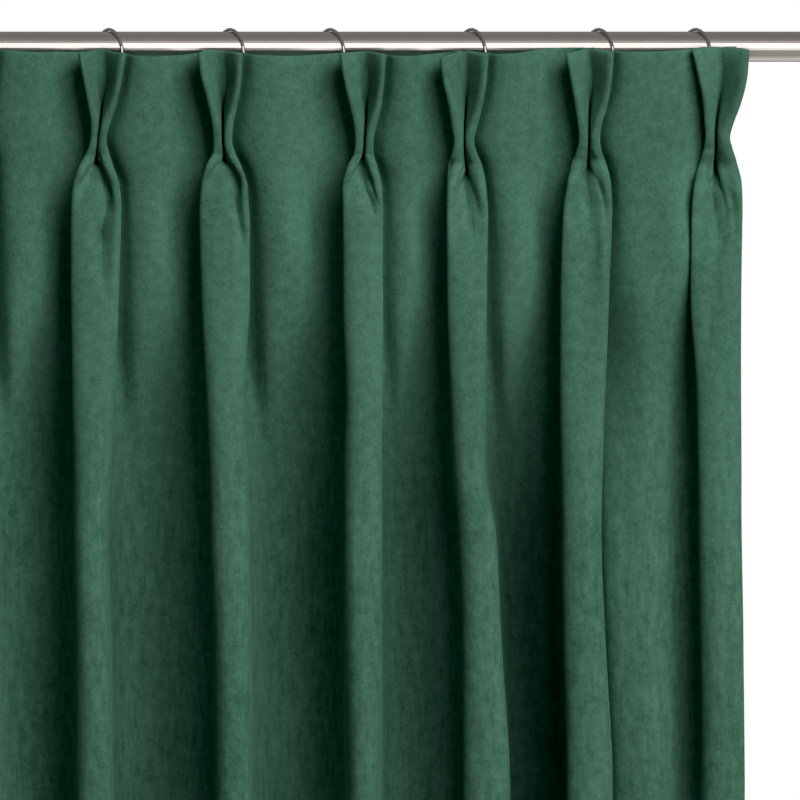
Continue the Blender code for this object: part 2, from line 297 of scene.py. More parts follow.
# Creases pressed into the pleats' fronts, and ridges raised on them: the pleat, counted from 0, how
# far each rises, its half-width, and its path as places along the rod and depths
Crease = namedtuple("Crease", "pleat rise width path")
CREASES = (
    Crease(1, -6.0, 3.6, ((-208, 84), (-206.5, 92))),
    Crease(1, -3.8, 3.2, ((-206, 89), (-202, 99), (-198, 109), (-196.4, 117), (-198.4, 129))),
    Crease(1, -2.8, 4.5, ((-197, 114), (-198.4, 129), (-201.3, 142), (-202.1, 160))),
    Crease(1, -4.2, 6.5, ((-201.5, 130), (-202.5, 160), (-203, 190))),
    Crease(1, 1.8, 2.8, ((-199.7, 90), (-192.6, 104), (-189.3, 123), (-191, 150), (-194.7, 202))),
    Crease(1, -1.2, 2.5, ((-208, 90), (-214, 100), (-218, 110))),
    Crease(1, -2.6, 4.0, ((-212, 97), (-211, 109))),
    Crease(2, -6.0, 3.2, ((-106, 82), (-102, 88))),
    Crease(2, -3.8, 3.0, ((-103, 86), (-93.2, 97), (-90.8, 104), (-92.6, 120), (-91.5, 131))),
    Crease(2, -2.6, 3.2, ((-92.6, 118), (-91.5, 131), (-87.5, 152))),
    Crease(2, 1.8, 2.4, ((-94, 87), (-87.5, 98), (-85.4, 108), (-85.6, 122), (-82.5, 156))),
    Crease(2, -1.2, 2.2, ((-105, 88), (-111, 95), (-117, 104))),
    Crease(3, -2.6, 3.0, ((8.3, 86), (10.7, 97))),
    Crease(3, -3.8, 2.4, ((10.2, 86), (10.6, 98), (11.6, 106), (17, 117), (20.5, 131))),
    Crease(3, 2.2, 2.4, ((16.5, 89), (22.3, 105), (26.4, 123))),
    Crease(3, -2.0, 1.2, ((14, 85), (23, 84.6))),
    Crease(4, 2.6, 2.4, ((93.2, 88), (89, 96.5), (82.5, 111))),
    Crease(4, -2.2, 2.0, ((94.5, 96), (91.6, 104), (92.4, 112))),
    Crease(4, -2.6, 2.4, ((85, 87), (80, 98))),
    Crease(4, -5.0, 2.4, ((95.5, 84), (96.2, 92), (95, 105), (95.8, 119), (97, 132), (99, 150))),
    Crease(4, 1.4, 5, ((106, 95), (108, 150))),
    Crease(5, -1.6, 1.2, ((185, 81.5), (195, 81))),
    Crease(5, -5.6, 2.6, ((198, 85), (194.2, 98), (194.6, 112), (195.6, 129), (198, 153))),
    Crease(5, -2.4, 3.0, ((200.5, 148), (200.8, 169), (198, 185))),
    Crease(5, 2.0, 3.2, ((199, 96), (204, 112), (206.5, 124), (208.7, 160), (208.7, 202))),
    Crease(5, -2.2, 7.0, ((197.5, 160), (196.4, 194), (193, 235), (189, 268))),
    Crease(6, -1.6, 1.2, ((290, 80.5), (301, 79.5))),
    Crease(6, -5.6, 2.6, ((302, 85), (298.2, 99), (298.6, 112), (299.8, 131), (302, 154))),
    Crease(6, -2.4, 3.0, ((306, 150), (305, 168))),
    Crease(6, 2.0, 3.0, ((303, 96), (310, 114), (312.5, 127), (313.5, 155))),
    Crease(6, -3.0, 5.0, ((301.5, 148), (301, 168), (299.5, 198), (296, 231), (290, 252))),
)

# How squarely the cloth has to face the room to be creased, the share of a crease that its ends have,
# how fast it grows to the whole, and how far creases keep from a pleat's base, in corners
CREASE_FACING = (0.15, 0.5)
CREASE_END = 0.35
CREASE_GROWTH = 3
CREASE_MARGIN = 0.5

# The cloth's unevenness: how far it stands out, over what lengths along the cloth and down it that
# changes, the share of it that the top edge has, the depth that adds the whole, and the hem's seam
BROAD_RISE = 1.2
BROAD_SPAN = (55, 190)
SMALL_RISE = 0.35
SMALL_SPAN = (22, 60)
TOP_UNEVEN = 0.25
FULL_UNEVEN = 300
HEM_SEAM = -0.7
SEAM_HALF_WIDTH = 2

# Painted shade in each panel's hollow low down, beside the pleat on its left: how much darker the
# colour is made there, the depths and the places from front to back between which that painted shade
# grows, and its share along the panel
PAINTED_SHADE_IN_HOLLOWS = (0.0, 0.34, 0.23, 0.44, 0.62, 0.0)
HOLLOW_SHADE_DEPTHS = (170, 430)
HOLLOW_SHADE_SET_BACK = (-55, -35)
HOLLOW_SHADE_PLACES = (6.5, 7.5, 12, 13.5, 14)
HOLLOW_SHADE_SHARES = (0, 1, 1, 0.2, 0)

# Painted shade on the pile in the heading, as the share of its colour that is kept, the depths
# between which that painted shade fades out, and those between which the pile is crushed in streaks
HEADING_PAINTED_SHADE = 0.88
HEADING_SHADE_FADE_DEPTHS = (50, 160)
CRUSHED_BETWEEN = (180, 420)

# Places along a row are counted in corners: ten for a pleat and four for a panel's bends
CORNERS_A_PLEAT = 14
BASES_APART = 9
CREASE_PLACE = 4.5

# The grid's steps from each corner to the next, its columns past the end pleats, its bands of rows,
# each by its lower end and the step between its rows, and its rows from the hem's seam
FINE_STEPS = (5, 4, 5, 7, 2, 7, 5, 4, 5, 2, 3, 3, 3, 2)
END_STEPS = (0.3, 0.6, 1.0)
ROW_BANDS = (
    (6, 2),
    (60, 4.5),
    (82, 2.75),
    (130, 2),
    (172, 3),
    (262, 6),
    (486, 14),
    (700, 24),
    (2412, 130),
)
HEM_ROWS = (-4, -1.5, 0, 1.5, 4, 20, 45, 66, 76)

# How finely the rows' outlines and bows are worked out, and over what depth the bows are eased
BEND_STEPS = 6
SAMPLE_STEP = 0.5
BOW_STEPS = 14
DEEPEST_BOW = 90.0
EASE_REACH = 12
EASE_GROWTH = 0.12


def read_table(depths, values, depth):
    """A row of a table read at any depth: smooth, and never past the values on either side."""
    spans = np.diff(depths)
    rises = np.diff(values) / spans
    slopes = [rises[0]]
    for before, after in zip(rises, rises[1:]):
        slopes.append(2 * before * after / (before + after) if before * after > 0 else 0.0)
    slopes.append(0.0)
    i = min(int(np.searchsorted(depths, depth, side="right")) - 1, len(spans) - 1)
    t = min(1.0, (depth - depths[i]) / spans[i])
    start = values[i] * (1 + 2 * t) * (1 - t) ** 2 + slopes[i] * spans[i] * t * (1 - t) ** 2
    end = values[i + 1] * t**2 * (3 - 2 * t) + slopes[i + 1] * spans[i] * t**2 * (t - 1)
    return float(start + end)


def smooth_share(depth, start, end):
    """Goes softly from 0 at the first depth to 1 at the second."""
    t = min(1, max(0, (depth - start) / (end - start)))
    return t * t * (3 - 2 * t)


def shape_at(values, depth):
    """One of the pleats' shared values at any depth."""
    return read_table(SHAPE_DEPTHS, values, depth)


def pleat_corners(pleat, depth):
    """The pleat's ten corners in plan, from one side of its base round both fingers to the other."""
    left = read_table(DEPTHS, pleat.left, depth) + EDGE_INSET
    right = read_table(DEPTHS, pleat.right, depth) - EDGE_INSET
    tip = min(shape_at(WIDEST_TIP, depth), (right - left - SLIT - THICKNESS) / 2)
    left += tip / 2
    right -= tip / 2
    middle = (left + right) / 2
    half = (right - left) / 2
    centre = left + (right - left) * read_table(CREASE_DEPTHS, pleat.crease, depth)
    if depth > CREASE_DEPTHS[-1]:
        centre = left + (right - left) * pleat.crease[-1]

    # Down to the last edge but one, a pleat of long reach has the shape of a lesser depth
    below = PINCH + (depth - PINCH) / pleat.reach if PINCH < depth < DEPTHS[-2] else depth
    open_above = max(0, 1 - depth / OPEN_DEPTH)
    gap = shape_at(CREASE_GAP, below)
    gap += (pleat.opening / 2 - gap) * open_above
    share = shape_at(CREASE_SHARE, below) * (1 - (1 - pleat.valley) * open_above)
    deep = share * math.sqrt(FINGER**2 - (half - gap) ** 2)
    groove = shape_at(GROOVE_SHARE, below) * deep + shape_at(GROOVE_DEPTH, below)
    bulge = shape_at(FACE_BULGE, depth)
    place = shape_at(GROOVE_PLACE, below)

    face = [
        (left, 0.0),
        (left + (centre - gap - left) * (1 - place), groove - bulge * GROOVE_BULGE),
        (centre - gap, deep - bulge),
        (centre + gap, deep - bulge),
        (right - (right - centre - gap) * (1 - place), groove - bulge * GROOVE_BULGE),
        (right, 0.0),
    ]
    half_face = sum(math.dist(a, b) for a, b in zip(face, face[1:])) / 2
    flank = 2 * FINGER - half_face
    base_half = shape_at(BASE_HALF_WIDTH, depth)
    front = BASE_PLANE - math.sqrt(flank**2 - (half - base_half) ** 2)

    lean = math.atan2(half - base_half, BASE_PLANE - front)
    across = tip / 2 * math.cos(lean)
    ahead = tip / 2 * math.sin(lean)
    corners = [(x, front + back) for x, back in face]
    corners[0] = (left + across, front - ahead)
    corners[-1] = (right - across, front - ahead)
    return [
        (middle - base_half, BASE_PLANE),
        (left - across, front + ahead),
        *corners,
        (right + across, front + ahead),
        (middle + base_half, BASE_PLANE),
    ]


def bow_shares(depth):
    """Each panel's bends as shares of its bow, which go from their first to their second."""
    shares = []
    for panel, late in zip(PANELS, PANELS_LATE):
        fallen = [smooth_share(depth - late, *fall) for fall in BENDS_FALL]
        shares.append([bend.above * (1 - t) + bend.below * t for bend, t in zip(panel, fallen)])
    return np.array(shares)


def panel_curve(number, before, after, depth, offsets):
    """Points from one pleat to the next, with their places, on a smooth curve through the bends."""
    start, end = before[-1], after[0]
    left, right = before[-2][0], after[1][0]
    forward = shape_at(PANEL_FORWARD, depth)
    first_place = CORNERS_A_PLEAT * number + BASES_APART
    knots = [np.array((first_place, *start))]
    shift = smooth_share(depth, *BENDS_SHIFT)
    for count, (bend, offset) in enumerate(zip(PANELS[number], offsets), start=1):
        above = left + bend.along * (right - left)
        below = start[0] + bend.lower * (end[0] - start[0])
        x = above * (1 - shift) + below * shift
        y = BASE_PLANE - forward * bend.heading + offset
        knots.append(np.array((first_place + count, x, y)))
    knots.append(np.array((first_place + len(knots), *end)))
    knots = [2 * knots[0] - knots[1], *knots, 2 * knots[-1] - knots[-2]]
    curve = []
    for a, b, c, d in zip(knots, knots[1:], knots[2:], knots[3:]):
        for step in range(BEND_STEPS):
            t = step / BEND_STEPS
            bend_in = t**2 * (a - 2.5 * b + 2 * c - d / 2)
            bend_out = t**3 * (1.5 * (b - c) + (d - a) / 2)
            curve.append(b + t * (c - a) / 2 + bend_in + bend_out)
    return curve[1:]


def flap_end(base, depth, side):
    """The cloth's free edge past an end pleat: along the heading on top, to the wall below."""
    turn = math.radians(shape_at(FLAP_TURN, depth))
    return (base[0] + side * END_FLAP * math.cos(turn), base[1] + END_FLAP * math.sin(turn))


def rounded(placed_points, radius):
    """The outline through the points, its corners softened, and each sample's place in corners."""
    marks, *points = np.array(placed_points).T
    steps = np.hypot(*np.diff(points, axis=1))
    reach = np.concatenate([[0], np.cumsum(steps)])
    samples = np.linspace(0, reach[-1], int(reach[-1] / SAMPLE_STEP) + 1)
    outline = np.column_stack([np.interp(samples, reach, values) for values in points])
    place = np.interp(samples, reach, marks)

    span = int(3 * radius / SAMPLE_STEP) + 1
    weights = np.exp(-0.5 * (np.arange(-span, span + 1) * SAMPLE_STEP / radius) ** 2)
    weights /= weights.sum()
    before = 2 * outline[0] - outline[span:0:-1]
    after = 2 * outline[-1] - outline[-2 : -span - 2 : -1]
    padded = np.concatenate([before, outline, after])
    soft = np.column_stack([np.convolve(padded[:, axis], weights, "valid") for axis in (0, 1)])
    return soft, place


def section(pleats, depth, offsets):
    """The cloth in plan at a depth, given how far each panel's bends lie towards the wall."""
    points = [(-1, *flap_end(pleats[0][0], depth, -1))]
    for number, corners in enumerate(pleats):
        for corner, point in enumerate(corners):
            points.append((CORNERS_A_PLEAT * number + corner, *point))
        if number < len(PANELS):
            points += panel_curve(number, corners, pleats[number + 1], depth, offsets[number])
    points.append((points[-1][0] + 1, *flap_end(pleats[-1][-1], depth, 1)))
    return rounded(points, shape_at(ROUNDING, depth))


def run_along(outline):
    """How far along the outline each of its points lies."""
    return np.concatenate([[0], np.cumsum(np.hypot(*np.diff(outline, axis=0).T))])


def crease_places():
    """Each pleat's crease, counted in corners."""
    return CORNERS_A_PLEAT * np.arange(len(PLEATS)) + CREASE_PLACE


def cloth_lengths():
    """How much cloth lies between neighbouring creases: four sides of a finger and the panel."""
    corners = [pleat_corners(pleat, NECK) for pleat in PLEATS]
    panels = [after[0][0] - before[-1][0] for before, after in zip(corners, corners[1:])]
    return 4 * FINGER + PANEL_EASE * np.array(panels)


def hanging_offsets(pleats, depth, wanted):
    """How far each panel's bends stand off to take up its cloth. The heading's stay as they are."""
    shares = bow_shares(depth)
    shallow = np.zeros(len(wanted))
    if depth <= PINCH:
        return shallow[:, None] * shares
    deep = np.full(len(wanted), DEEPEST_BOW)
    for _ in range(BOW_STEPS):
        bows = (shallow + deep) / 2
        outline, place = section(pleats, depth, bows[:, None] * shares)
        lengths = np.diff(np.interp(crease_places(), place, run_along(outline)))
        too_long = lengths > wanted
        deep = np.where(too_long, bows, deep)
        shallow = np.where(too_long, shallow, bows)
    return shallow[:, None] * shares


def eased(depths, offsets):
    """The offsets made to change slowly with the depth, more so further down."""
    shares = np.gradient(depths)
    soft = []
    for depth in depths:
        reach = EASE_REACH + EASE_GROWTH * max(0, depth - PINCH)
        weights = shares * np.exp(-0.5 * ((depths - depth) / reach) ** 2)
        soft.append(np.tensordot(weights, offsets, 1) / weights.sum())
    return soft


def row_depths():
    """The depth of each row of the grid, closest round the pinch."""
    depths = [0.0]
    for end, step in ROW_BANDS:
        count = max(1, round((end - depths[-1]) / step))
        depths += list(np.linspace(depths[-1], end, count + 1)[1:])
    return depths + [DROP - HEM_DEPTH + row for row in HEM_ROWS] + [DROP]


def column_places():
    """The place of each column of the grid, counted in corners."""
    places = [-step for step in reversed(END_STEPS)]
    for number in range(len(PLEATS)):
        for corner, count in enumerate(FINE_STEPS):
            if number == len(PLEATS) - 1 and corner >= BASES_APART:
                break
            start = CORNERS_A_PLEAT * number + corner
            places += [start + step / count for step in range(count)]
    last = CORNERS_A_PLEAT * (len(PLEATS) - 1) + BASES_APART
    return np.array([*places, last, *(last + step for step in END_STEPS)])


def drooped(pleat_number, places, y, depth):
    """How far each point of a pleat's fingers hangs lower than its base."""
    forward = np.clip((BASE_PLANE - y) / FINGER, 0, 1) ** DROOP_CURVE
    middle = CORNERS_A_PLEAT * pleat_number + CREASE_PLACE
    near = np.abs(places - middle) < CREASE_PLACE
    droop = np.interp(places - middle, DROOP_PLACES, PLEATS[pleat_number].droop)
    return np.where(near, droop * forward * math.exp(-depth / DROOP_FADE), 0)


def top_line(x):
    """How far the top edge stands over its mean height, by the place along the rod."""
    places, heights = zip(*TOP_LINE)
    return np.interp(x, places, heights)


def across_flat(outline, place, places, flat_creases):
    """How far across the flat cloth each column lies, by its run between the creases."""
    run = run_along(outline)
    creases = np.interp(crease_places(), place, run)
    ends = [creases[0] - END_LENGTH, *creases, creases[-1] + END_LENGTH]
    flat_ends = [0, *flat_creases, flat_creases[-1] + END_LENGTH]
    return np.interp(np.interp(places, place, run), ends, flat_ends)


def cloth_surface():
    """The cloth's middle surface as a grid of points, with each point's place in the flat cloth."""
    wanted = cloth_lengths()
    places = column_places()
    depths = np.array(row_depths())
    pleats = [[pleat_corners(pleat, depth) for pleat in PLEATS] for depth in depths]
    offsets = np.array([hanging_offsets(row, depth, wanted) for row, depth in zip(pleats, depths)])
    flat_creases = END_LENGTH + np.concatenate([[0], np.cumsum(wanted)])
    grid, flat = [], []
    for row, depth, row_offsets in zip(pleats, depths, eased(depths, offsets)):
        outline, place = section(row, depth, row_offsets)
        x = np.interp(places, place, outline[:, 0])
        y = np.interp(places, place, outline[:, 1])
        lift = top_line(x) * max(0, 1 - depth / TOP_LINE_FADE)
        for number in range(len(PLEATS)):
            lift -= drooped(number, places, y, depth)
        y += TOP_ROLL * max(0, 1 - depth / TOP_ROLL_DEPTH) ** 2
        grid.append(np.column_stack([x, y, TOP_EDGE - depth + lift]))
        along = across_flat(outline, place, places, flat_creases)
        flat.append(np.column_stack([along, np.full(len(places), DROP - depth)]))
    return np.array(grid), np.array(flat), places


def surface_normals(grid):
    """Unit normals of the grid, towards the room on a flat panel."""
    down, across = np.gradient(grid, axis=0), np.gradient(grid, axis=1)
    normals = np.cross(down, across)
    return normals / np.linalg.norm(normals, axis=2, keepdims=True)


def distance_to_path(x, depth, path):
    """How far points lie from a path of straight legs, and how far along it, from 0 to 1."""
    points = np.array(path, dtype=float)
    legs = np.diff(points, axis=0)
    lengths = np.hypot(*legs.T)
    starts = np.concatenate([[0], np.cumsum(lengths)])
    nearest, along = np.full(x.shape, np.inf), np.zeros(x.shape)
    for point, leg, length, start in zip(points, legs, lengths, starts):
        t = np.clip(((x - point[0]) * leg[0] + (depth - point[1]) * leg[1]) / length**2, 0, 1)
        distance = np.hypot(x - point[0] - t * leg[0], depth - point[1] - t * leg[1])
        closer = distance < nearest
        nearest = np.where(closer, distance, nearest)
        along = np.where(closer, (start + t * length) / starts[-1], along)
    return nearest, along


def creased(grid, places):
    """The grid with each pleat's creases pressed in and its ridges raised."""
    normals = surface_normals(grid)
    aside, square = CREASE_FACING
    facing = np.clip((-normals[:, :, 1] - aside) / (square - aside), 0, 1)
    x, depth = grid[:, :, 0], TOP_EDGE - grid[:, :, 2]
    moved = np.zeros(x.shape)
    for crease in CREASES:
        middle = CORNERS_A_PLEAT * crease.pleat + CREASE_PLACE
        on_pleat = np.abs(places - middle) < CREASE_PLACE - CREASE_MARGIN
        distance, along = distance_to_path(x, depth, crease.path)
        fade = np.minimum(1, CREASE_END + CREASE_GROWTH * np.minimum(along, 1 - along))
        moved += crease.rise * fade * np.exp(-((distance / crease.width) ** 2)) * facing * on_pleat
    return grid + normals * moved[:, :, None]


def uneven(grid, flat):
    """The grid with the soft unevenness of hanging cloth, less in the heading, and the hem's seam."""
    normals = surface_normals(grid)
    moved = np.zeros(grid.shape[:2])
    for row in range(len(grid)):
        depth = DROP - flat[row, 0, 1]
        share = min(1, TOP_UNEVEN + depth / FULL_UNEVEN)
        seam = HEM_SEAM * math.exp(-(((depth - DROP + HEM_DEPTH) / SEAM_HALF_WIDTH) ** 2))
        for column, (along, down) in enumerate(flat[row]):
            broad = noise.noise(Vector((along / BROAD_SPAN[0], down / BROAD_SPAN[1], 1)))
            small = noise.noise(Vector((along / SMALL_SPAN[0], down / SMALL_SPAN[1], 7)))
            moved[row, column] = share * (BROAD_RISE * broad + SMALL_RISE * small) + seam
    return grid + normals * moved[:, :, None]


def painted_hollow_shade(grid, places):
    """How much painted shade darkens the colour at each point: most in the hollows right of the low
    folds.
    """
    front, back = HOLLOW_SHADE_SET_BACK
    set_back = np.clip((grid[:, :, 1] - front) / (back - front), 0, 1)
    low = np.array([smooth_share(TOP_EDGE - row[0, 2], *HOLLOW_SHADE_DEPTHS) for row in grid])
    pleat, place = np.divmod(places, CORNERS_A_PLEAT)
    beside = np.interp(place, HOLLOW_SHADE_PLACES, HOLLOW_SHADE_SHARES)
    strength = [PAINTED_SHADE_IN_HOLLOWS[int(number)] if 0 <= number < len(PAINTED_SHADE_IN_HOLLOWS) else 0 for number in pleat]
    return set_back * low[:, None] * (beside * strength)[None, :]


def grid_mesh(name, grid, flat, painted_shade):
    """A smooth mesh over a grid, with the flat cloth in metres as its texture map and the hollows'
    painted shade on its points.
    """
    rows, columns = grid.shape[:2]
    corner = np.arange(rows * columns).reshape(rows, columns)
    faces = np.stack([corner[:-1, :-1], corner[1:, :-1], corner[1:, 1:], corner[:-1, 1:]], axis=-1)
    mesh = bpy.data.meshes.new(name)
    mesh.from_pydata((grid.reshape(-1, 3) * MM).tolist(), [], faces.reshape(-1, 4).tolist())
    chart = mesh.uv_layers.new(name="flat_cloth")
    corners = np.empty(len(mesh.loops), dtype=np.int32)
    mesh.loops.foreach_get("vertex_index", corners)
    chart.uv.foreach_set("vector", (flat.reshape(-1, 2)[corners] * MM).ravel())
    # The hollows' painted shade, kept on the points for the material to darken the colour by
    shares = mesh.attributes.new("painted_shade", "FLOAT", "POINT")
    shares.data.foreach_set("value", painted_shade.ravel())
    mesh.shade_smooth()
    return mesh


def apply_modifiers(obj):
    """Gives the object the mesh that its modifiers make of it."""
    graph = bpy.context.evaluated_depsgraph_get()
    mesh = bpy.data.meshes.new_from_object(obj.evaluated_get(graph))
    obj.modifiers.clear()
    obj.data = mesh


def make_cloth(sizes):
    """The dressed cloth, and the size it has when it lies flat."""
    grid, flat, places = cloth_surface()
    grid = uneven(creased(grid, places), flat)
    mesh = grid_mesh("cloth", grid, flat, painted_hollow_shade(grid, places))
    cloth = bpy.data.objects.new("cloth", mesh)
    bpy.context.scene.collection.objects.link(cloth)
    cloth.data.materials.append(chenille_material(sizes))
    sheet = cloth.modifiers.new("Sheet", "SOLIDIFY")
    sheet.thickness = sizes.thickness
    sheet.offset = 0
    apply_modifiers(cloth)
    return cloth, (float(flat[:, :, 0].max()) * MM, DROP * MM)


class Value:
    """One output of a node. Maths on it adds Math nodes to its shader."""

    def __init__(self, shader, socket):
        self.shader = shader
        self.socket = socket

    def maths(self, operation, *inputs, clamp=False):
        settings = {"operation": operation, "use_clamp": clamp}
        return self.shader.node("ShaderNodeMath", settings, dict(enumerate(inputs)))

    def __add__(self, other):
        return self.maths("ADD", self, other)

    def __sub__(self, other):
        return self.maths("SUBTRACT", self, other)

    def __mul__(self, other):
        return self.maths("MULTIPLY", self, other)

    def __rsub__(self, other):
        return self.maths("SUBTRACT", other, self)

    __radd__ = __add__
    __rmul__ = __mul__

    def clamped(self):
        """The same value, kept between 0 and 1."""
        return self.maths("ADD", self, 0.0, clamp=True)


class Shader:
    """The node tree of a material or the world."""

    def __init__(self, owner):
        owner.use_nodes = True
        self.tree = owner.node_tree
        self.tree.nodes.clear()

    def node(self, kind, settings=None, sockets=None, output=0):
        """Adds a node: its settings first, then its sockets' values or links. Gives one output."""
        node = self.tree.nodes.new(kind)
        for name, value in (settings or {}).items():
            setattr(node, name, value)
        for name, value in (sockets or {}).items():
            if isinstance(value, Value):
                self.tree.links.new(value.socket, node.inputs[name])
            else:
                node.inputs[name].default_value = value
        return Value(self, node.outputs[output]) if node.outputs else node

    def mix(self, factor, first, second):
        """The first colour where the factor is 0, the second where it is 1."""
        settings = {"data_type": "RGBA"}
        return self.node("ShaderNodeMix", settings, {0: factor, 6: first, 7: second}, output=2)

    def vectors(self, operation, first, second):
        """Maths on two colours or vectors, part by part."""
        return self.node("ShaderNodeVectorMath", {"operation": operation}, {0: first, 1: second})

    def noise(self, place, scale, detail=2.0, roughness=0.5):
        """A noise over the place, stretched by its own scale on each axis."""
        stretched = self.vectors("MULTIPLY", place, scale)
        sockets = {"Vector": stretched, "Scale": 1.0, "Detail": detail, "Roughness": roughness}
        return self.node("ShaderNodeTexNoise", {}, sockets)

    def ramp(self, value, low, high):
        """Goes from 0 to 1 while the value goes from low to high."""
        sockets = {"Value": value, "From Min": low, "From Max": high}
        return self.node("ShaderNodeMapRange", {"interpolation_type": "SMOOTHSTEP"}, sockets)

    def bump(self, height, distance):
        """The normals of a surface raised by the height, which is this many metres where it is 1."""
        sockets = {"Strength": 1.0, "Distance": distance, "Height": height}
        return self.node("ShaderNodeBump", {}, sockets)

    def surface(self, **sockets):
        """The Principled shader with these sockets, as the tree's output."""
        names = {name.replace("_", " ").title(): value for name, value in sockets.items()}
        names = {name.replace("Ior", "IOR"): value for name, value in names.items()}
        principled = self.node("ShaderNodeBsdfPrincipled", {}, names)
        self.node("ShaderNodeOutputMaterial", {}, {"Surface": principled})


def chenille_material(sizes):
    """Soft pile in a fine weave, its nap brushed lighter and darker in uneven patches, with painted
    shade in the heading and the low hollows.
    """
    material = bpy.data.materials.new("chenille")
    shader = Shader(material)
    flat = shader.node("ShaderNodeUVMap", {"uv_map": "flat_cloth"})

    # Each noise by how often it changes in a metre, along the cloth and down it
    weft = shader.noise(flat, (260, 620, 1), detail=2)
    warp = shader.noise(flat, (620, 260, 1), detail=2)
    grain = (weft + warp) * 0.5
    mottle = shader.noise(flat, (130, 110, 1), detail=3, roughness=0.6)
    streaks = shader.noise(flat, (170, 42, 1), detail=4, roughness=0.62)
    patches = shader.noise(flat, (16, 4.5, 1), detail=4, roughness=0.55)
    nap = shader.ramp(patches, 0.36, 0.66)

    height = shader.node("ShaderNodeSeparateXYZ", {}, {"Vector": flat}, output="Y")
    crushed = shader.ramp(height, *((DROP - depth) * MM for depth in CRUSHED_BETWEEN))
    heading_shade_faded = shader.ramp(height, *((DROP - depth) * MM for depth in HEADING_SHADE_FADE_DEPTHS))
    deep = (*sizes.shade_colour, 1)
    light = (*sizes.light_colour, 1)
    tone = 0.5 + (nap - 0.5) * sizes.nap_contrast + (grain - 0.5) * sizes.grain_contrast
    tone = tone + (mottle - 0.5) * sizes.mottle_contrast
    tone = (tone + (streaks - 0.5) * crushed * sizes.streak_contrast).clamped()
    # Painted shade: the colour is darkened in the low hollows and in the heading
    painted_shade = shader.node("ShaderNodeAttribute", {"attribute_name": "painted_shade"}, {}, output="Fac")
    painted_shading = (HEADING_PAINTED_SHADE + (1 - HEADING_PAINTED_SHADE) * heading_shade_faded) * (1 - painted_shade)
    colour = shader.vectors("MULTIPLY", shader.mix(tone, deep, light), painted_shading)
    relief = shader.bump(grain, sizes.grain_height)
    shader.surface(
        base_color=colour,
        roughness=0.92,
        specular_ior_level=0.15,
        sheen_weight=sizes.sheen,
        sheen_roughness=0.45,
        sheen_tint=(*sizes.sheen_colour, 1),
        normal=relief,
    )
    return material


def nickel_material(looks):
    """Satin nickel, brushed along the rod."""
    material = bpy.data.materials.new("satin nickel")
    shader = Shader(material)
    place = shader.node("ShaderNodeTexCoord", {}, {}, output="Object")
    brushing = shader.noise(place, (6, 900, 900), detail=3)
    cloud = shader.noise(place, (14, 40, 40), detail=2)
    dark = tuple(0.9 * level for level in looks.rod_colour)
    colour = shader.mix(brushing * 0.7 + cloud * 0.3, (*dark, 1), (*looks.rod_colour, 1))
    shader.surface(
        base_color=colour,
        metallic=1.0,
        roughness=looks.rod_roughness + (brushing - 0.5) * 0.12,
        normal=shader.bump(brushing, 0.00004),
    )
    return material


def wire_material(looks):
    """Bright drawn wire, with faint lengthwise marks."""
    material = bpy.data.materials.new("bright wire")
    shader = Shader(material)
    place = shader.node("ShaderNodeTexCoord", {}, {}, output="Object")
    marks = shader.noise(place, (700, 700, 90), detail=3)
    dark = tuple(0.8 * level for level in looks.wire_colour)
    colour = shader.mix(marks, (*dark, 1), (*looks.wire_colour, 1))
    shader.surface(
        base_color=colour,
        metallic=1.0,
        roughness=0.24 + (marks - 0.5) * 0.1,
        normal=shader.bump(marks, 0.00003),
    )
    return material


def floor_material():
    """Pale matt paint, a little clouded."""
    material = bpy.data.materials.new("pale floor")
    shader = Shader(material)
    place = shader.node("ShaderNodeTexCoord", {}, {}, output="Object")
    cloud = shader.noise(place, (0.7, 0.7, 0.7), detail=3)
    shader.surface(
        base_color=shader.mix(cloud, (0.36, 0.35, 0.34, 1), (0.42, 0.41, 0.40, 1)),
        roughness=0.7,
    )
    return material


def colour_property(name, description, default):
    """A colour that the user can change."""
    return bpy.props.FloatVectorProperty(
        name=name, description=description, default=default, subtype="COLOR", min=0, max=1
    )


def power_property(name, description, default):
    """A light's power that the user can change."""
    return bpy.props.FloatProperty(
        name=name, description=description, default=default, min=0, unit="POWER"
    )


class ClothSettings(bpy.types.PropertyGroup):
    """The cloth's thickness, colours and pile"""

    thickness: bpy.props.FloatProperty(
        name="Thickness",
        description="How thick the chenille is",
        default=THICKNESS * MM,
        min=0.001,
        max=0.003,
        unit="LENGTH",
    )
    shade_colour: colour_property(
        "Shade", "The pile brushed away from the light", (0.030, 0.086, 0.055)
    )
    light_colour: colour_property(
        "Light", "The pile brushed towards the light", (0.076, 0.176, 0.122)
    )
    sheen_colour: colour_property(
        "Sheen Colour", "The pile's tips seen from the side", (0.35, 0.75, 0.55)
    )
    sheen: bpy.props.FloatProperty(
        name="Sheen",
        description="How much the pile's tips brighten at a glancing angle",
        default=0.12,
        min=0,
        max=1,
        subtype="FACTOR",
    )
    nap_contrast: bpy.props.FloatProperty(
        name="Nap",
        description="How strongly the brushed patches differ",
        default=0.22,
        min=0,
        max=2,
    )
    grain_contrast: bpy.props.FloatProperty(
        name="Grain",
        description="How strongly the weave shows in the colour",
        default=1.25,
        min=0,
        max=4,
    )
    mottle_contrast: bpy.props.FloatProperty(
        name="Mottle",
        description="How strongly small tufts of the pile differ",
        default=1.1,
        min=0,
        max=4,
    )
    streak_contrast: bpy.props.FloatProperty(
        name="Streaks",
        description="How strongly the pile is crushed in upright streaks below the heading",
        default=1.5,
        min=0,
        max=4,
    )
    grain_height: bpy.props.FloatProperty(
        name="Grain Height",
        description="How far the yarns stand out of the cloth",
        default=0.0004,
        min=0,
        max=0.002,
        unit="LENGTH",
    )


